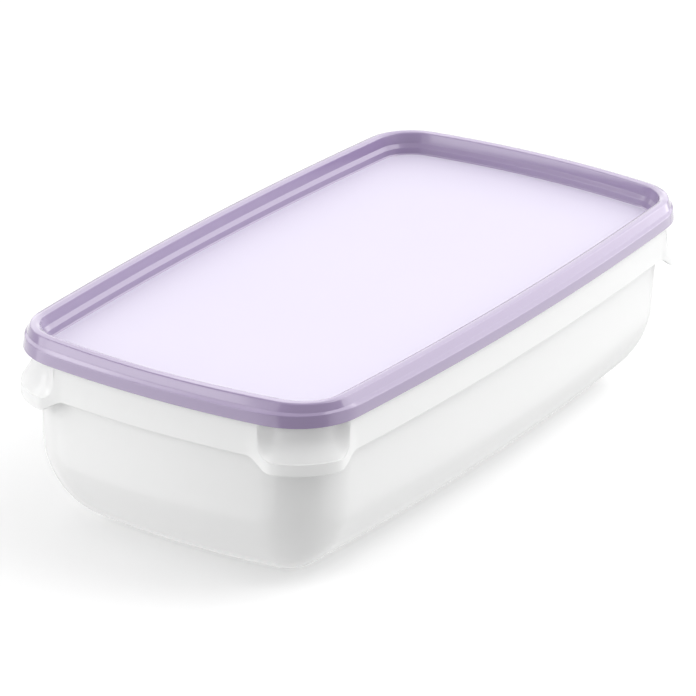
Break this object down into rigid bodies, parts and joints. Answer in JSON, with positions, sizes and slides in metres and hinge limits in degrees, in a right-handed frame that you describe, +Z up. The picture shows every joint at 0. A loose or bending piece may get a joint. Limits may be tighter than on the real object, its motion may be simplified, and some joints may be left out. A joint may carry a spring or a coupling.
{
  "type": "food storage container",
  "caption": "Shut rectangular food storage box: a frosted clear tub with finger grips at its corners and a lilac press-fit lid with a recessed top.",
  "frame": {"origin": "middle of the tub's flat bottom", "axes": "+X along the long side, +Y across, +Z up"},
  "size_m": [0.3, 0.1578, 0.0838],
  "materials": {
    "tub_plastic": "frosted clear, lightly glossy",
    "lid_plastic": "lilac, lightly glossy"
  },
  "bodies": {
    "root": {"tub": "tub_plastic", "lid": "lid_plastic"}
  },
  "joints": []
}
